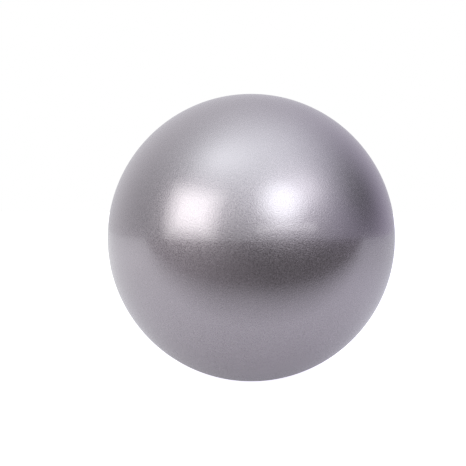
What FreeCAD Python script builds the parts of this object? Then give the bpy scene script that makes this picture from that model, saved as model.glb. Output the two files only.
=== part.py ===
"""Small inflatable exercise ball, 250 mm across, standing on the flat patch its own weight presses into it.

Three separate pieces: the moulded shell, the soft valve insert bonded into its wall, and the pull-out plug.
Millimetres, +Z up. The origin is the centre of the resting patch, on the floor. The valve's axis runs
along +Y through the ball's centre, so the plug is pulled out along +Y.
"""

import FreeCAD, Part
import math
import os

# Shell
ball_diameter = 250.0
wall = 0.7

# Resting patch: the weight of the ball (N) carried by its inner pressure (N/mm2)
ball_weight = 1.65
inner_pressure = 0.002
patch_blend_radius = 45.0

# Parting ridge that the two mould halves leave, on the great circle square to the valve's axis
ridge_height = 0.2
ridge_base_width = 1.0
ridge_crest_width = 0.5
ridge_gap_angle = 34.0

# Moulded dish and ring around the valve, and the thicker wall behind them
dish_depth = 2.3
dish_floor_radius = 10.0
dish_mouth_radius = 12.2
boss_thickness = 2.0
boss_radius = 13.0
boss_flare_radius = 16.5
ring_radius = 15.5
ring_bead_radius = 0.45
ring_height = 0.25

# Valve insert: a collar in the wall's hole, a flange bonded behind it and a tube that reaches inwards
collar_radius = 8.0
flange_radius = 11.5
flange_thickness = 1.2
tube_root_radius = 5.4
tube_tip_radius = 4.7
tube_length = 18.0
tube_edge = 0.6

# Plug: a domed head that fills the dish and a tapered, ribbed shank that seals in the insert's bore
head_radius = 6.5
head_edge_thickness = 1.3
head_edge_round = 0.45
nail_gap_depth = 0.4
nail_gap_width = 1.2
shank_root_radius = 3.1
shank_tip_radius = 2.5
shank_length = 15.5
rib_count = 3
rib_height = 0.25
rib_spacing = 3.6
first_rib_depth = 3.2
rib_lead = 1.0
rib_land = 0.4
seat_gap = 0.1
bore_clearance = 0.05

# Worked out from the driving dimensions
ball_radius = ball_diameter / 2
patch_radius = math.sqrt(ball_weight / (math.pi * inner_pressure))
centre_height = patch_blend_radius + math.sqrt((ball_radius - patch_blend_radius) ** 2 - patch_radius**2)
face_reach = ball_radius - dish_depth
boss_back_reach = face_reach - boss_thickness
flange_back_reach = boss_back_reach - flange_thickness
tube_end_reach = face_reach - tube_length
seat_reach = face_reach + seat_gap

X_AXIS = FreeCAD.Vector(1, 0, 0)
Y_AXIS = FreeCAD.Vector(0, 1, 0)
Z_AXIS = FreeCAD.Vector(0, 0, 1)
ORIGIN = FreeCAD.Vector(0, 0, 0)
BALL_CENTRE = FreeCAD.Vector(0, 0, centre_height)


def sphere_reach(radius_of_sphere, distance_from_axis):
    """How far a sphere about the ball's centre reaches along its axis, at this distance from the axis."""
    return math.sqrt(radius_of_sphere**2 - distance_from_axis**2)


def valve_point(distance_from_axis, reach):
    """A point beside the valve's axis: reach is measured along +Y from the ball's centre."""
    return BALL_CENTRE + X_AXIS * distance_from_axis + Y_AXIS * reach


def turned_about_valve(edges):
    """The solid that a closed outline beside the valve's axis sweeps in a full turn about it."""
    return Part.Face(Part.Wire(edges)).revolve(BALL_CENTRE, Y_AXIS, 360)


def valve_outline(corners):
    """A closed chain of straight edges through corners given as (distance from the axis, reach)."""
    points = [valve_point(*corner) for corner in corners]
    return [Part.LineSegment(a, b).toShape() for a, b in zip(points, points[1:] + points[:1])]


def settled_ball(inset):
    """A solid ball that rests on its flattened patch, with its whole surface moved in by inset."""
    blend = patch_blend_radius - inset
    lean = math.asin(patch_radius / (ball_radius - patch_blend_radius))
    blend_centre = FreeCAD.Vector(patch_radius, 0, patch_blend_radius)

    def on_blend(angle):
        return blend_centre + FreeCAD.Vector(math.sin(angle), 0, -math.cos(angle)) * blend

    bottom = FreeCAD.Vector(0, 0, inset)
    patch_edge = on_blend(0)
    tangent_point = on_blend(lean)
    foot_top = FreeCAD.Vector(0, 0, tangent_point.z)
    foot_outline = Part.Wire(
        [
            Part.LineSegment(bottom, patch_edge).toShape(),
            Part.Arc(patch_edge, on_blend(lean / 2), tangent_point).toShape(),
            Part.LineSegment(tangent_point, foot_top).toShape(),
            Part.LineSegment(foot_top, bottom).toShape(),
        ]
    )
    foot = Part.Face(foot_outline).revolve(ORIGIN, Z_AXIS, 360)
    below_foot = Part.makeBox(
        ball_diameter, ball_diameter, ball_diameter, foot_top - FreeCAD.Vector(1, 1, 2) * ball_radius
    )
    ball = Part.makeSphere(ball_radius - inset, BALL_CENTRE, Y_AXIS)
    return ball.cut(below_foot).fuse(foot)


def parting_ridge():
    """The low ridge around the ball, which stops short of the patch on each side."""
    buried = ball_radius - wall / 2
    crest = ball_radius + ridge_height
    half_base = ridge_base_width / 2
    half_crest = ridge_crest_width / 2
    corners = [(-half_base, buried), (half_base, buried), (half_crest, crest), (-half_crest, crest)]
    points = [BALL_CENTRE + Y_AXIS * across - Z_AXIS * out for across, out in corners]
    section = Part.Face(Part.makePolygon(points + points[:1]))
    section.rotate(BALL_CENTRE, Y_AXIS, ridge_gap_angle / 2)
    return section.revolve(BALL_CENTRE, Y_AXIS, 360 - ridge_gap_angle)


def valve_boss():
    """The thicker wall behind the dish. Its outer side is buried halfway through the shell's wall."""
    mid_wall = ball_radius - wall / 2
    rim = valve_point(boss_flare_radius, sphere_reach(mid_wall, boss_flare_radius))
    half_way = valve_point(boss_flare_radius / 2, sphere_reach(mid_wall, boss_flare_radius / 2))
    crown = valve_point(0, mid_wall)
    back_centre = valve_point(0, boss_back_reach)
    back_edge = valve_point(boss_radius, boss_back_reach)
    return turned_about_valve(
        [
            Part.LineSegment(back_centre, back_edge).toShape(),
            Part.LineSegment(back_edge, rim).toShape(),
            Part.Arc(rim, half_way, crown).toShape(),
            Part.LineSegment(crown, back_centre).toShape(),
        ]
    )


def valve_dish():
    """What is cut away to sink the valve below the ball's surface."""
    mouth_reach = sphere_reach(ball_radius, dish_mouth_radius)
    slope = (dish_mouth_radius - dish_floor_radius) / (mouth_reach - face_reach)
    outside = ball_radius + 1
    outside_radius = dish_floor_radius + slope * (outside - face_reach)
    corners = [(0, face_reach), (dish_floor_radius, face_reach), (outside_radius, outside), (0, outside)]
    return turned_about_valve(valve_outline(corners))


def valve_ring():
    """The raised bead that rings the dish."""
    bead_reach = sphere_reach(ball_radius + ring_height - ring_bead_radius, ring_radius)
    return Part.makeTorus(ring_radius, ring_bead_radius, valve_point(0, bead_reach), Y_AXIS)


def make_shell():
    """The hollow moulded ball, with the valve's hole through its boss."""
    solid = settled_ball(0).cut(settled_ball(wall))
    solid = solid.fuse([valve_boss(), valve_ring(), parting_ridge()])
    hole = Part.makeCylinder(collar_radius, ball_radius, BALL_CENTRE, Y_AXIS)
    return solid.cut([valve_dish(), hole]).removeSplitter()


def bore_radius(reach):
    """The bore follows the ribs' taper, one clearance away from them."""
    taper = (shank_root_radius - shank_tip_radius) / shank_length
    return shank_root_radius + rib_height + bore_clearance - taper * (seat_reach - reach)


def make_valve_insert():
    """The soft valve body. Its bore runs right through it, into the air space."""
    tube_end_corner = tube_end_reach + tube_edge
    corners = [
        (bore_radius(face_reach), face_reach),
        (collar_radius, face_reach),
        (collar_radius, boss_back_reach),
        (flange_radius, boss_back_reach),
        (flange_radius, flange_back_reach),
        (tube_root_radius + tube_edge, flange_back_reach),
        (tube_root_radius, flange_back_reach - tube_edge),
        (tube_tip_radius, tube_end_corner),
        (tube_tip_radius - tube_edge, tube_end_reach),
        (bore_radius(tube_end_reach), tube_end_reach),
    ]
    return turned_about_valve(valve_outline(corners))


def shank_radius(depth):
    """Radius of the plain shank at this depth under the head's seat."""
    return shank_root_radius - (shank_root_radius - shank_tip_radius) * depth / shank_length


def shank_corners():
    """The shank's outline from its root to just before its rounded tip, with a barbed rib at each step."""
    corners = [(shank_radius(0), seat_reach)]
    for i in range(rib_count):
        top = first_rib_depth + i * rib_spacing
        land = top + rib_land
        foot = land + rib_lead
        corners.append((shank_radius(top), seat_reach - top))
        corners.append((shank_radius(top) + rib_height, seat_reach - top))
        corners.append((shank_radius(land) + rib_height, seat_reach - land))
        corners.append((shank_radius(foot), seat_reach - foot))
    return corners


def make_valve_plug():
    """The stopper: domed head, undercut at its rim for a fingernail, and ribbed shank with a round tip."""
    rim_foot = seat_reach + nail_gap_depth
    rim_top = seat_reach + head_edge_thickness
    shoulder_radius = head_radius - head_edge_round
    rounding = head_edge_round * (1 - math.sqrt(0.5))
    rim_side = valve_point(head_radius, rim_top - head_edge_round)
    rim_round = valve_point(head_radius - rounding, rim_top - rounding)
    shoulder = valve_point(shoulder_radius, rim_top)
    dome_rise = ball_radius - rim_top
    dome_radius = (shoulder_radius**2 + dome_rise**2) / (2 * dome_rise)
    dome_middle = valve_point(
        shoulder_radius / 2, ball_radius - dome_radius + sphere_reach(dome_radius, shoulder_radius / 2)
    )
    crown = valve_point(0, ball_radius)

    tip_start_depth = shank_length - shank_tip_radius
    tip_start = valve_point(shank_radius(tip_start_depth), seat_reach - tip_start_depth)
    tip_round = valve_point(
        shank_radius(tip_start_depth) * math.sqrt(0.5),
        seat_reach - tip_start_depth - shank_tip_radius * math.sqrt(0.5),
    )
    tip = valve_point(0, seat_reach - shank_length)

    under_head = [
        valve_point(head_radius - nail_gap_width, seat_reach),
        valve_point(head_radius - nail_gap_width + nail_gap_depth, rim_foot),
        valve_point(head_radius, rim_foot),
        rim_side,
    ]
    side = [valve_point(*corner) for corner in reversed(shank_corners())] + under_head
    edges = [Part.Arc(tip, tip_round, tip_start).toShape()]
    for a, b in zip([tip_start] + side, side):
        edges.append(Part.LineSegment(a, b).toShape())
    edges.append(Part.Arc(rim_side, rim_round, shoulder).toShape())
    edges.append(Part.Arc(shoulder, dome_middle, crown).toShape())
    edges.append(Part.LineSegment(crown, tip).toShape())
    return turned_about_valve(edges)


os.makedirs("parts", exist_ok=True)
for name, shape in (
    ("shell", make_shell()),
    ("valve_insert", make_valve_insert()),
    ("valve_plug", make_valve_plug()),
):
    shape.exportStep(f"parts/{name}.step")
    print(name, "volume", round(shape.Volume), "mm3, solids", len(shape.Solids), "valid", shape.isValid())
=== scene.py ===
"""Looks of the small inflatable exercise ball: its satin, pearl-grey soft plastic skin, its valve and plug.

Metres, +Z up, in the CAD model's own frame. The valve's axis runs along +Y through the ball's centre.
"""

import math

import bmesh
import bpy
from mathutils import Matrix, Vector, noise


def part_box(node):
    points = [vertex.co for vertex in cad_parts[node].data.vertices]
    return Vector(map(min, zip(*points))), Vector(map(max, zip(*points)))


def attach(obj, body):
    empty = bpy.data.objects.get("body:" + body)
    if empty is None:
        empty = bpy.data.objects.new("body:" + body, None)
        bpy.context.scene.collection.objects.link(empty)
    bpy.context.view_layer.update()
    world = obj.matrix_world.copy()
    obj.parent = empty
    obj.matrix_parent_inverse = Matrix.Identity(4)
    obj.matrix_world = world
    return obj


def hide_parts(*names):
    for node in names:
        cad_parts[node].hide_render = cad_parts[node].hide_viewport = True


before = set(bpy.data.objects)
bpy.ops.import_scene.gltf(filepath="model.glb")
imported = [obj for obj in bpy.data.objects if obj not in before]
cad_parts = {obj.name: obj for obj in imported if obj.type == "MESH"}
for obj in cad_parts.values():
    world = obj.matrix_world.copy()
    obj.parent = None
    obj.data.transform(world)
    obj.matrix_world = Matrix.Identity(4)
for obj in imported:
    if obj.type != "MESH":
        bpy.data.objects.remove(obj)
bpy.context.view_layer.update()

MM = 0.001

# Skin, with the CAD model's own driving dimensions
WALL = 0.7 * MM
PATCH_BLEND = 45 * MM
RIDGE_HEIGHT = 0.2 * MM
RIDGE_HALF_WIDTH = 0.5 * MM
RIDGE_GAP = math.radians(17)
RIDGE_FADE = math.radians(5)

# Fineness of the turned meshes
TURNS = 384
SMALL_TURNS = 128
RING_STEP = math.radians(0.9)
BEAD_STEPS = 8
DOME_RINGS = 8
TIP_STEPS = 10

# The blown skin is never quite round: slow swells of this height, this many to the ball's radius. They fade
# out near the floor and near the valve's dish
SWELL = 0.12 * MM
SWELLS = 2.4
SWELL_FLOOR_FADE = (20 * MM, 60 * MM)
SWELL_VALVE_FADE = (2.5 * MM, 10 * MM)

# Dish, bead and boss around the valve
DISH_FLOOR = 10 * MM
DISH_MOUTH = 12.2 * MM
DISH_MOUTH_ROUND = 0.6 * MM
BEAD_CENTRE = 15.5 * MM
BEAD_RADIUS = 0.45 * MM
BEAD_HEIGHT = 0.25 * MM
BOSS_THICKNESS = 2.0 * MM
BOSS_RADIUS = 13 * MM
BOSS_FLARE = 16.5 * MM

# Valve insert
COLLAR_RADIUS = 8 * MM
LIP_RADIUS = 7.3 * MM
LIP_HALF_WIDTH = 0.3 * MM
LIP_HEIGHT = 0.15 * MM
BORE_MOUTH = 3.396 * MM
BORE_END = 2.71 * MM
FLANGE_THICKNESS = 1.2 * MM
TUBE_ROOT = 5.4 * MM
TUBE_TIP = 4.7 * MM
TUBE_EDGE = 0.6 * MM

# Plug
HEAD_EDGE = 1.3 * MM
HEAD_ROUND = 0.45 * MM
NAIL_GAP_DEPTH = 0.4 * MM
NAIL_GAP_WIDTH = 1.2 * MM
SHANK_ROOT = 3.1 * MM
SHANK_TIP = 2.5 * MM
RIBS = 3
RIB_HEIGHT = 0.25 * MM
RIB_SPACING = 3.6 * MM
FIRST_RIB = 3.2 * MM
RIB_LEAD = 1.0 * MM
RIB_LAND = 0.4 * MM
SEAT_GAP = 0.1 * MM
GATE_RADIUS = 0.9 * MM
GATE_DEPTH = 0.08 * MM

# Places, from the frame
shell_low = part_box("shell")[0]
insert_low, insert_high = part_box("valve_insert")
plug_low, plug_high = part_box("valve_plug")
ball_radius = -shell_low.y
centre = Vector((0, 0, (insert_low.z + insert_high.z) / 2))
patch_radius = math.sqrt((ball_radius - PATCH_BLEND) ** 2 - (centre.z - PATCH_BLEND) ** 2)
face_reach = insert_high.y
tube_end = insert_low.y
flange_radius = insert_high.x
boss_back = face_reach - BOSS_THICKNESS
head_radius = plug_high.x
crown_reach = plug_high.y
seat_reach = face_reach + SEAT_GAP
shank_length = seat_reach - plug_low.y


def sphere_reach(radius, distance):
    """How far a sphere about the ball's centre reaches along its axis, at this distance from the axis."""
    return math.sqrt(max(radius**2 - distance**2, 0))


def smooth_step(value, low, high):
    """0 up to the low value and 1 from the high one on, with a smooth rise between them."""
    share = min(max((value - low) / (high - low), 0), 1)
    return share * share * (3 - 2 * share)


def arc(middle, radius, start, end, steps):
    """Points (distance, reach) on a round about middle, from one angle to another, both in degrees."""
    angles = [math.radians(start + (end - start) * i / steps) for i in range(steps + 1)]
    return [(middle[0] + radius * math.cos(a), middle[1] + radius * math.sin(a)) for a in angles]


def rounded(corners, steps=5):
    """The outline through (distance, reach, rounding) corners, each turned with its own rounding."""
    points = []
    for i, (distance, reach, rounding) in enumerate(corners):
        corner = Vector((distance, reach))
        if rounding == 0:
            points.append(tuple(corner))
            continue
        back = (Vector(corners[i - 1][:2]) - corner).normalized()
        ahead = (Vector(corners[(i + 1) % len(corners)][:2]) - corner).normalized()
        half_angle = back.angle(ahead) / 2
        middle = corner + (back + ahead).normalized() * rounding / math.sin(half_angle)
        from_back = corner + back * rounding / math.tan(half_angle) - middle
        from_ahead = corner + ahead * rounding / math.tan(half_angle) - middle
        for k in range(steps + 1):
            spoke = from_back.lerp(from_ahead, k / steps)
            points.append(tuple(middle + spoke.normalized() * rounding))
    return points


def lathe(name, profile, turns, closed=False, shape=None):
    """A mesh turned about the valve's axis from (distance, reach) points. shape then moves each point."""
    bm = bmesh.new()
    rings = []
    for distance, reach in profile:
        ring = []
        for i in range(turns if distance > 0 else 1):
            angle = math.tau * i / turns
            point = centre + Vector((distance * math.cos(angle), reach, distance * math.sin(angle)))
            ring.append(bm.verts.new(shape(point) if shape else point))
        rings.append(ring)
    for first, second in zip(rings, rings[1:] + (rings[:1] if closed else [])):
        for i in range(turns):
            corners = [first[i % len(first)], first[(i + 1) % len(first)]]
            corners += [second[(i + 1) % len(second)], second[i % len(second)]]
            bm.faces.new(dict.fromkeys(corners))
    bmesh.ops.recalc_face_normals(bm, faces=bm.faces)
    mesh = bpy.data.meshes.new(name)
    bm.to_mesh(mesh)
    bm.free()
    mesh.shade_smooth()
    piece = bpy.data.objects.new(name, mesh)
    bpy.context.collection.objects.link(piece)
    return piece


# Shell

def swell(point):
    """Moves a point of the outer skin in or out a little, but not near the patch or the valve."""
    from_centre = point - centre
    if from_centre.length < ball_radius - WALL / 2:
        return point
    height = SWELL * noise.noise(from_centre / ball_radius * SWELLS)
    height *= smooth_step(point.z, *SWELL_FLOOR_FADE)
    height *= smooth_step(ball_radius - from_centre.y, *SWELL_VALVE_FADE)
    return point + from_centre.normalized() * height


def raise_ridge(point):
    """The parting ridge fades out beside the patch, which has pressed it flat."""
    from_centre = point - centre
    across = abs(from_centre.y)
    if across > RIDGE_HALF_WIDTH or from_centre.length < ball_radius - WALL / 2:
        return point
    from_bottom = abs(math.atan2(from_centre.x, -from_centre.z))
    height = RIDGE_HEIGHT * math.cos(across / RIDGE_HALF_WIDTH * math.pi / 2) ** 2
    height *= smooth_step(from_bottom, RIDGE_GAP, RIDGE_GAP + RIDGE_FADE)
    return point + from_centre.normalized() * height


def patch_height(distance, inset):
    """Height of the settled underside, moved in by inset, at this distance from the vertical axis."""
    if distance <= patch_radius:
        return inset
    blend = PATCH_BLEND - inset
    return PATCH_BLEND - math.sqrt(blend**2 - (distance - patch_radius) ** 2)


def settle(point):
    """Moves a point of the round ball's underside up to where the resting patch holds it."""
    inset = WALL if (point - centre).length < ball_radius - WALL / 2 else 0
    radius = ball_radius - inset
    distance = math.hypot(point.x, point.y)
    tangent = radius * patch_radius / (ball_radius - PATCH_BLEND)
    if point.z > centre.z or distance >= tangent:
        return point
    lift = patch_height(distance, inset) - (centre.z - sphere_reach(radius, distance))
    return point + Vector((0, 0, lift))


def around(radius, start, end, step):
    """Points on a sphere about the ball's centre, between two angles from the valve's axis."""
    steps = max(1, math.ceil(abs(end - start) / step))
    angles = [start + (end - start) * i / steps for i in range(steps + 1)]
    return [(radius * math.sin(a), radius * math.cos(a)) for a in angles]


def shell_profile():
    """From the outside's front pole back to the valve, through its hole and forward along the inside."""
    side = math.pi / 2
    half_ridge = RIDGE_HALF_WIDTH / ball_radius
    bead_reach = sphere_reach(ball_radius + BEAD_HEIGHT - BEAD_RADIUS, BEAD_CENTRE)
    bead_spread = math.degrees(math.acos(1 - BEAD_HEIGHT / BEAD_RADIUS))
    bead = arc((BEAD_CENTRE, bead_reach), BEAD_RADIUS, 90 - bead_spread, 90 + bead_spread, BEAD_STEPS)
    bead_start = math.asin(bead[0][0] / ball_radius)
    bead_end = math.asin(bead[-1][0] / ball_radius)
    mouth_start = math.asin((DISH_MOUTH + DISH_MOUTH_ROUND) / ball_radius)
    sphere_end = (ball_radius * math.sin(mouth_start), ball_radius * math.cos(mouth_start))
    dish = rounded(
        [
            (*sphere_end, 0),
            (DISH_MOUTH, sphere_reach(ball_radius, DISH_MOUTH), DISH_MOUTH_ROUND),
            (DISH_FLOOR, face_reach, 0.4 * MM),
            (COLLAR_RADIUS, face_reach, 0.25 * MM),
            (COLLAR_RADIUS, boss_back, 0),
            (BOSS_RADIUS, boss_back, 0),
        ]
    )
    inner = ball_radius - WALL
    outside = [(0, -ball_radius)]
    outside += around(ball_radius, math.pi - RING_STEP / 2, side + half_ridge, RING_STEP)
    outside += around(ball_radius, side + half_ridge, side - half_ridge, half_ridge / 4)[1:]
    outside += around(ball_radius, side - half_ridge, bead_start, RING_STEP)[1:-1]
    outside += bead
    outside += around(ball_radius, bead_end, mouth_start, RING_STEP / 4)[1:-1]
    inside = around(inner, math.asin(BOSS_FLARE / inner), math.pi - RING_STEP, RING_STEP * 2)
    return outside + dish + inside + [(0, -inner)]


def make_shell():
    """The skin: its outside, the dish and hole of the valve, and its inside, all in one closed surface."""
    return lathe("ball_skin", shell_profile(), TURNS, shape=lambda p: settle(raise_ridge(swell(p))))


# Valve

def make_insert():
    """The soft valve body, with a low lip around the plug's head and softened edges."""
    flange_back = boss_back - FLANGE_THICKNESS
    lip_foot = LIP_HALF_WIDTH + LIP_HEIGHT / 2
    lip_top = LIP_HALF_WIDTH - LIP_HEIGHT / 2
    corners = [
        (BORE_MOUTH, face_reach, 0.35 * MM),
        (LIP_RADIUS - lip_foot, face_reach, 0.1 * MM),
        (LIP_RADIUS - lip_top, face_reach + LIP_HEIGHT, 0.06 * MM),
        (LIP_RADIUS + lip_top, face_reach + LIP_HEIGHT, 0.06 * MM),
        (LIP_RADIUS + lip_foot, face_reach, 0.1 * MM),
        (COLLAR_RADIUS, face_reach, 0.2 * MM),
        (COLLAR_RADIUS, boss_back, 0),
        (flange_radius, boss_back, 0.2 * MM),
        (flange_radius, flange_back, 0.4 * MM),
        (TUBE_ROOT + TUBE_EDGE, flange_back, 0.2 * MM),
        (TUBE_ROOT, flange_back - TUBE_EDGE, 0.2 * MM),
        (TUBE_TIP, tube_end, TUBE_EDGE),
        (BORE_END, tube_end, 0.3 * MM),
    ]
    return lathe("valve_body", rounded(corners), SMALL_TURNS, closed=True)


def shank_radius(depth):
    """Radius of the plain shank at this depth under the head's seat."""
    return SHANK_ROOT - (SHANK_ROOT - SHANK_TIP) * depth / shank_length


def dome(distance):
    """Reach of the head's domed top at this distance from the axis."""
    shoulder = head_radius - HEAD_ROUND
    rise = crown_reach - seat_reach - HEAD_EDGE
    radius = (shoulder**2 + rise**2) / (2 * rise)
    return crown_reach - radius + sphere_reach(radius, distance)


def plug_corners():
    """From the foot of the deepest rib up to the gate mark in the middle of the head."""
    corners = []
    for i in reversed(range(RIBS)):
        top = FIRST_RIB + i * RIB_SPACING
        land = top + RIB_LAND
        foot = land + RIB_LEAD
        corners.append((shank_radius(foot), seat_reach - foot, 0.3 * MM))
        corners.append((shank_radius(land) + RIB_HEIGHT, seat_reach - land, 0.12 * MM))
        corners.append((shank_radius(top) + RIB_HEIGHT, seat_reach - top, 0.08 * MM))
        corners.append((shank_radius(top), seat_reach - top, 0.1 * MM))
    gap_root = head_radius - NAIL_GAP_WIDTH
    corners.append((SHANK_ROOT, seat_reach, 0.4 * MM))
    corners.append((gap_root, seat_reach, 0.15 * MM))
    corners.append((gap_root + NAIL_GAP_DEPTH, seat_reach + NAIL_GAP_DEPTH, 0.15 * MM))
    corners.append((head_radius, seat_reach + NAIL_GAP_DEPTH, 0.15 * MM))
    corners.append((head_radius, dome(head_radius), HEAD_ROUND))
    for i in range(1, DOME_RINGS):
        distance = head_radius + (GATE_RADIUS - head_radius) * i / DOME_RINGS
        corners.append((distance, dome(distance), 0))
    corners.append((GATE_RADIUS, dome(GATE_RADIUS), 0.1 * MM))
    corners.append((GATE_RADIUS - GATE_DEPTH, dome(0) - GATE_DEPTH, 0.05 * MM))
    corners.append((0, dome(0) - GATE_DEPTH, 0))
    return corners


def make_plug():
    """The stopper: a round-tipped ribbed shank under a domed head with a gate mark in its middle."""
    tip_reach = seat_reach - shank_length
    tip_middle = tip_reach + SHANK_TIP
    tip_radius = shank_radius(shank_length - SHANK_TIP)
    angles = [math.radians(90 * i / TIP_STEPS) for i in range(TIP_STEPS + 1)]
    tip = [(tip_radius * math.sin(a), tip_middle - SHANK_TIP * math.cos(a)) for a in angles]
    return lathe("valve_stopper", tip + rounded(plug_corners()), SMALL_TURNS)


# Materials

# Most of a noise value lies in this range
NOISE_RANGE = (0.35, 0.65)

# Pearl skin, with its slow clouds and its fine grains counted to the metre
SKIN_DARK = (0.4, 0.365, 0.4)
SKIN_LIGHT = (0.49, 0.445, 0.485)
SKIN_CLOUDS = 14
SKIN_CLOUD_SHARE = 0.25
SKIN_GRAINS = 900
SKIN_GRAIN_HEIGHT = 0.14 * MM
SKIN_ROUGHNESS = (0.21, 0.35)
COAT_IOR = 2.0
COAT_ROUGHNESS = 0.12

# Plain soft plastic of the valve and the plug
PLASTIC_CLOUDS = 220
PLASTIC_GRAINS = 4500
PLASTIC_GRAIN_RANGE = (0.3, 0.7)
PLASTIC_GRAIN_HEIGHT = 0.02 * MM
PLASTIC_ROUGHNESS_SPREAD = 0.05
VALVE_COLOURS = ((0.30, 0.29, 0.31), (0.34, 0.33, 0.35))
VALVE_ROUGHNESS = 0.42
PLUG_COLOURS = ((0.74, 0.74, 0.75), (0.80, 0.80, 0.81))
PLUG_ROUGHNESS = 0.36


def new_material(name):
    """A new node material, with what its nodes are built with."""
    material = bpy.data.materials.new(name)
    material.use_nodes = True
    nodes = material.node_tree.nodes
    return material, nodes, material.node_tree.links, nodes["Principled BSDF"]


def mottle(nodes, links, scale, detail, roughness=0.5):
    """A noise value over the object's own metres, with this many features to the metre."""
    place = nodes.new("ShaderNodeTexCoord")
    node = nodes.new("ShaderNodeTexNoise")
    node.inputs["Scale"].default_value = scale
    node.inputs["Detail"].default_value = detail
    node.inputs["Roughness"].default_value = roughness
    links.new(place.outputs["Object"], node.inputs["Vector"])
    return node.outputs["Fac"]


def spread(nodes, links, value, source, target):
    """Carries a value from one (low, high) range to another, clamped at both ends."""
    node = nodes.new("ShaderNodeMapRange")
    for socket, number in zip(("From Min", "From Max", "To Min", "To Max"), (*source, *target)):
        node.inputs[socket].default_value = number
    links.new(value, node.inputs["Value"])
    return node.outputs["Result"]


def bump(nodes, links, height, distance):
    """A normal that rises by this distance where the height value is 1."""
    node = nodes.new("ShaderNodeBump")
    node.inputs["Distance"].default_value = distance
    links.new(height, node.inputs["Height"])
    return node.outputs["Normal"]


def mix_colour(nodes, links, factor, first, second):
    """The first colour where the factor is 0, the second where it is 1."""
    node = nodes.new("ShaderNodeMix")
    node.data_type = "RGBA"
    node.inputs["A"].default_value = (*first, 1)
    node.inputs["B"].default_value = (*second, 1)
    links.new(factor, node.inputs["Factor"])
    return node.outputs["Result"]


def calculate(nodes, links, operation, first, second=0):
    """One Math node over a socket or a number on each side. Some operations take only the first."""
    node = nodes.new("ShaderNodeMath")
    node.operation = operation
    for socket, value in zip(node.inputs, (first, second)):
        if isinstance(value, bpy.types.NodeSocket):
            links.new(value, socket)
        else:
            socket.default_value = value
    return node.outputs["Value"]


def skin_material():
    """Soft plastic with silver pearl in it: bright grains under a faintly frosted clear surface."""
    material, nodes, links, shader = new_material("pearl_skin")
    clouds = mottle(nodes, links, SKIN_CLOUDS, detail=3)
    cloudy = spread(nodes, links, clouds, NOISE_RANGE, (0, SKIN_CLOUD_SHARE))
    grain = mottle(nodes, links, SKIN_GRAINS, detail=2, roughness=0.6)
    flaky = spread(nodes, links, grain, NOISE_RANGE, (0, 1 - SKIN_CLOUD_SHARE))
    tint = calculate(nodes, links, "ADD", cloudy, flaky)
    links.new(mix_colour(nodes, links, tint, SKIN_DARK, SKIN_LIGHT), shader.inputs["Base Color"])
    links.new(spread(nodes, links, grain, NOISE_RANGE, SKIN_ROUGHNESS), shader.inputs["Roughness"])
    links.new(bump(nodes, links, grain, SKIN_GRAIN_HEIGHT), shader.inputs["Normal"])
    shader.inputs["Metallic"].default_value = 1.0
    shader.inputs["Coat Weight"].default_value = 1.0
    shader.inputs["Coat IOR"].default_value = COAT_IOR
    shader.inputs["Coat Roughness"].default_value = COAT_ROUGHNESS
    return material


def soft_plastic(name, colours, roughness):
    """Plain moulded soft plastic: faint clouds of colour, a satin sheen and a finely textured surface."""
    material, nodes, links, shader = new_material(name)
    clouds = mottle(nodes, links, PLASTIC_CLOUDS, detail=4)
    tint = spread(nodes, links, clouds, NOISE_RANGE, (0, 1))
    links.new(mix_colour(nodes, links, tint, *colours), shader.inputs["Base Color"])
    grain = mottle(nodes, links, PLASTIC_GRAINS, detail=3, roughness=0.6)
    sheen = (roughness - PLASTIC_ROUGHNESS_SPREAD, roughness + PLASTIC_ROUGHNESS_SPREAD)
    links.new(spread(nodes, links, grain, PLASTIC_GRAIN_RANGE, sheen), shader.inputs["Roughness"])
    links.new(bump(nodes, links, grain, PLASTIC_GRAIN_HEIGHT), shader.inputs["Normal"])
    return material


# Studio: azimuths, elevations, widths and heights are in degrees, as seen from the ball

# Camera. As shares of the picture: the ball's width, and how far it is right of the middle and below it
STUDIO_LENS = 85
SENSOR = 36
CAMERA_ELEVATION = math.radians(2)
BALL_SHARE = 0.617
RIGHT_SHARE = 0.0386
BELOW_SHARE = 0.0098

# Shape, azimuth, elevation, radiance, colour, and the (width, height) of each layer. The layers of a box
# stand one in front of the other, the widest at the back
SOFT_BOXES = (
    ("RECTANGLE", -48, 19, 0.62, (1, 0.99, 0.97), ((46, 39), (35, 30), (23, 21))),
    ("ELLIPSE", 25.5, 27, 0.57, (0.945, 0.99, 1), ((38, 36), (28, 28), (19, 20))),
    ("RECTANGLE", 28, 9, 0.72, (1, 1, 1), ((46, 6),)),
)
LAYER_DISTANCE = 4
LAYER_DISTANCE_PER_DEGREE = 0.02

# The walls, and the tint that they take on the right, around an azimuth and elevation and over a width
WALL_LIGHT = 0.43
WALL_COLOUR = (0.98, 0.97, 1)
RIGHT_WALL = (110, 10, 60)
RIGHT_WALL_COLOUR = (1.04, 0.94, 1.26)

# Flags that hold the walls' light back: azimuth, elevation, width and the share held back
FLAGS = ((104, 20, 27, 0.85), (-102, 22, 50, 0.4))

# Light thrown on the ceiling and the walls: azimuth, elevation, width, strength and colour
GLOWS = (
    (15, 67, 46, 0.92, (0.9, 0.98, 0.98)),
    (-46, 59, 17.5, 0.67, (0.91, 0.98, 0.97)),
    (51, 35, 12.5, 0.82, WALL_COLOUR),
    (-13, 18, 22, 0.07, WALL_COLOUR),
    (-140, 18, 55, 0.32, WALL_COLOUR),
)

# The floor, a table top with painted light: a faint glow seen in the ball's reflections, whose light and
# tint slide from the left of the ball to the right of it, brighter on the left and bluish on the right
FLOOR_REACH = 12
FLOOR_COLOUR = (0.5, 0.49, 0.5)
FLOOR_ROUGHNESS = 0.9
FLOOR_SLIDE = 0.6
FLOOR_LIGHT = (0.345, 0.115)
PAINTED_FLOOR_LIGHT_TINT_SLIDE = 0.3
PAINTED_FLOOR_LIGHT_TINTS = ((1, 1, 1), (1.01, 0.98, 1.21))
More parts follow.
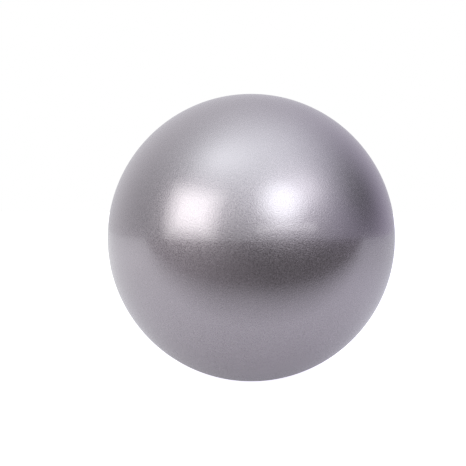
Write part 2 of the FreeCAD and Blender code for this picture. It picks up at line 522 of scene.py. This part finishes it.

# Painted reflection of the dark room: a dark card that glows dimly and that only the ball's reflections see,
# as painted shade on the ball. Its light also slides from left to right. Far away it is dimmer, down to a
# least light
ROOM_RISE = 0.5 * MM
PAINTED_ROOM_COLOUR = (0.03, 0.03, 0.03)
PAINTED_ROOM_TINT = (1, 0.93, 0.98)
PAINTED_ROOM_SLIDE = 0.3
PAINTED_ROOM_LIGHT = (0.32, -0.02)
PAINTED_ROOM_DEPTHS = (-1.5, -0.3)
PAINTED_ROOM_DEPTH_SHARES = (0.58, 1)
PAINTED_ROOM_LEAST_LIGHT = 0.115

# The table's near edge, where the painted room reflection fades out, and how it slants back on the right
EDGE_FADE = (-0.26, -0.125)
EDGE_SLANT = 0.13
ROOM_BACK = 1.5


def make_camera():
    """A long lens just above the ball's middle. It is turned a little, so the ball isn't in mid-picture."""
    zoom = STUDIO_LENS / SENSOR
    distance = math.hypot(ball_radius, zoom * ball_radius / (BALL_SHARE / 2))
    data = bpy.data.cameras.new("camera")
    data.lens = STUDIO_LENS
    data.sensor_width = SENSOR
    camera = bpy.data.objects.new("camera", data)
    bpy.context.collection.objects.link(camera)
    back = Vector((0, -math.cos(CAMERA_ELEVATION), math.sin(CAMERA_ELEVATION)))
    camera.location = centre + back * distance
    tilt = math.pi / 2 - CAMERA_ELEVATION + math.atan(BELOW_SHARE / zoom)
    camera.rotation_euler = (tilt, 0, math.atan(RIGHT_SHARE / zoom))
    bpy.context.scene.camera = camera


def direction(azimuth, elevation):
    """Unit vector from degrees: azimuth 0 is the camera's side (-Y), and it grows towards +X."""
    a, e = math.radians(azimuth), math.radians(elevation)
    return Vector((math.sin(a) * math.cos(e), -math.cos(a) * math.cos(e), math.sin(e)))


def soft_box(shape, azimuth, elevation, radiance, colour, width, height):
    """One area light that faces the ball, this wide and high as seen from it. Wider ones are further off."""
    distance = LAYER_DISTANCE + LAYER_DISTANCE_PER_DEGREE * width
    data = bpy.data.lights.new("soft_box", "AREA")
    data.shape = shape
    data.size = 2 * distance * math.tan(math.radians(width / 2))
    data.size_y = 2 * distance * math.tan(math.radians(height / 2))
    area = data.size * data.size_y * (math.pi / 4 if shape == "ELLIPSE" else 1)
    data.energy = radiance * math.pi * area
    data.color = colour
    light = bpy.data.objects.new("soft_box", data)
    bpy.context.collection.objects.link(light)
    towards = direction(azimuth, elevation)
    light.location = centre + towards * distance
    light.rotation_mode = "QUATERNION"
    light.rotation_quaternion = towards.to_track_quat("Z", "Y")
    light.visible_camera = False


def make_lights():
    """A soft box on each side of the camera, hotter in its middle, and a low strip under the right one."""
    for shape, azimuth, elevation, radiance, colour, layers in SOFT_BOXES:
        for width, height in layers:
            soft_box(shape, azimuth, elevation, radiance, colour, width, height)


def glow(nodes, links, azimuth, elevation, width):
    """1 towards one side of the studio, and fading smoothly over this many degrees around it."""
    place = nodes.new("ShaderNodeTexCoord")
    dot = nodes.new("ShaderNodeVectorMath")
    dot.operation = "DOT_PRODUCT"
    dot.inputs[1].default_value = direction(azimuth, elevation)
    links.new(place.outputs["Generated"], dot.inputs[0])
    short = calculate(nodes, links, "SUBTRACT", dot.outputs["Value"], 1)
    steep = calculate(nodes, links, "DIVIDE", short, 1 - math.cos(math.radians(width)))
    return calculate(nodes, links, "EXPONENT", steep)


def wall_light(nodes, links):
    """How strongly the walls shine towards the ball: one level, less what the flags hold back."""
    level = WALL_LIGHT
    for azimuth, elevation, width, share in FLAGS:
        flag = calculate(nodes, links, "MULTIPLY", glow(nodes, links, azimuth, elevation, width), share)
        level = calculate(nodes, links, "MULTIPLY", level, calculate(nodes, links, "SUBTRACT", 1, flag))
    return level


def make_world():
    """Soft grey walls and a ceiling with light thrown on them. The camera sees plain white instead."""
    world = bpy.data.worlds.new("studio")
    bpy.context.scene.world = world
    world.use_nodes = True
    nodes, links = world.node_tree.nodes, world.node_tree.links
    walls = nodes["Background"]
    links.new(wall_light(nodes, links), walls.inputs["Strength"])
    rightward = glow(nodes, links, *RIGHT_WALL)
    links.new(mix_colour(nodes, links, rightward, WALL_COLOUR, RIGHT_WALL_COLOUR), walls.inputs["Color"])
    light = walls.outputs["Background"]
    for azimuth, elevation, width, strength, colour in GLOWS:
        lamp = nodes.new("ShaderNodeBackground")
        lamp.inputs["Color"].default_value = (*colour, 1)
        lift = calculate(nodes, links, "MULTIPLY", glow(nodes, links, azimuth, elevation, width), strength)
        links.new(lift, lamp.inputs["Strength"])
        both = nodes.new("ShaderNodeAddShader")
        links.new(light, both.inputs[0])
        links.new(lamp.outputs["Background"], both.inputs[1])
        light = both.outputs["Shader"]
    plain = nodes.new("ShaderNodeBackground")
    plain.inputs["Color"].default_value = (1, 1, 1, 1)
    rays = nodes.new("ShaderNodeLightPath")
    mix = nodes.new("ShaderNodeMixShader")
    links.new(rays.outputs["Is Camera Ray"], mix.inputs["Fac"])
    links.new(light, mix.inputs[1])
    links.new(plain.outputs["Background"], mix.inputs[2])
    links.new(mix.outputs["Shader"], nodes["World Output"].inputs["Surface"])


def plate(name, front, back, height, material):
    """A level sheet of the stage at this height, between two places along Y."""
    mesh = bpy.data.meshes.new(name)
    corners = [(-FLOOR_REACH, front), (FLOOR_REACH, front), (FLOOR_REACH, back), (-FLOOR_REACH, back)]
    mesh.from_pydata([(x, y, height) for x, y in corners], [], [range(4)])
    mesh.materials.append(material)
    piece = bpy.data.objects.new(name, mesh)
    bpy.context.collection.objects.link(piece)
    return piece


def ground_place(nodes, links):
    """The place on the ground, as one socket for each axis."""
    place = nodes.new("ShaderNodeTexCoord")
    split = nodes.new("ShaderNodeSeparateXYZ")
    links.new(place.outputs["Object"], split.inputs["Vector"])
    return split.outputs


def from_left(nodes, links, reach, values):
    """A value that slides between two numbers, from this far left of the ball to as far right of it."""
    return spread(nodes, links, ground_place(nodes, links)["X"], (-reach, reach), values)


def make_floor():
    """A pale table top with painted light: it glows faintly, brighter on the left and bluish on the right,
    and is overexposed for the camera alone.
    """
    material, nodes, links, shader = new_material("pale_floor")
    shader.inputs["Base Color"].default_value = (*FLOOR_COLOUR, 1)
    shader.inputs["Roughness"].default_value = FLOOR_ROUGHNESS
    shader.inputs["Specular IOR Level"].default_value = 0
    # Painted light: the floor's glow turns bluish towards the right of the ball
    rightward = from_left(nodes, links, PAINTED_FLOOR_LIGHT_TINT_SLIDE, (0, 1))
    links.new(mix_colour(nodes, links, rightward, *PAINTED_FLOOR_LIGHT_TINTS), shader.inputs["Emission Color"])
    rays = nodes.new("ShaderNodeLightPath")
    # Painted light: the floor glows more on the left of the ball than on its right
    shining = from_left(nodes, links, FLOOR_SLIDE, FLOOR_LIGHT)
    seen = calculate(nodes, links, "MAXIMUM", shining, rays.outputs["Is Camera Ray"])
    links.new(seen, shader.inputs["Emission Strength"])
    plate("floor", -FLOOR_REACH, FLOOR_REACH, 0, material)


def make_painted_room_reflection():
    """Painted reflection of the dim room in front of the table: a dark, faintly glowing card on the floor
    that the ball's reflections alone see.
    """
    material, nodes, links, shader = new_material("painted_room_reflection")
    # Painted shade: a near-black card with a faint mauve glow, seen only in the ball's reflections
    shader.inputs["Base Color"].default_value = (*PAINTED_ROOM_COLOUR, 1)
    shader.inputs["Specular IOR Level"].default_value = 0
    shader.inputs["Emission Color"].default_value = (*PAINTED_ROOM_TINT, 1)
    place = ground_place(nodes, links)
    # Painted reflection: the card glows more on the left and nearer the ball, and it shapes the dark band on
    # the ball
    nearby = spread(nodes, links, place["Y"], PAINTED_ROOM_DEPTHS, PAINTED_ROOM_DEPTH_SHARES)
    sliding = from_left(nodes, links, PAINTED_ROOM_SLIDE, PAINTED_ROOM_LIGHT)
    shining = calculate(nodes, links, "MULTIPLY", sliding, nearby)
    seen = calculate(nodes, links, "MAXIMUM", shining, PAINTED_ROOM_LEAST_LIGHT)
    links.new(seen, shader.inputs["Emission Strength"])
    rightward = calculate(nodes, links, "MAXIMUM", place["X"], 0)
    slant = calculate(nodes, links, "MULTIPLY", rightward, EDGE_SLANT)
    depth = calculate(nodes, links, "SUBTRACT", place["Y"], slant)
    links.new(spread(nodes, links, depth, EDGE_FADE, (1, 0)), shader.inputs["Alpha"])
    card = plate("painted_room_reflection", -FLOOR_REACH, ROOM_BACK, ROOM_RISE, material)
    card.visible_camera = False
    card.visible_diffuse = False
    card.visible_shadow = False


make_camera()
make_lights()
make_world()
make_floor()
make_painted_room_reflection()
bpy.context.scene.view_settings.view_transform = "Standard"

skin = make_shell()
skin.data.materials.append(skin_material())
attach(skin, "ball")
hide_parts("shell")

insert = make_insert()
insert.data.materials.append(soft_plastic("soft_valve", VALVE_COLOURS, VALVE_ROUGHNESS))
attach(insert, "ball")
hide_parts("valve_insert")

stopper = make_plug()
stopper.data.materials.append(soft_plastic("plug_plastic", PLUG_COLOURS, PLUG_ROUGHNESS))
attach(stopper, "plug")
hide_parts("valve_plug")
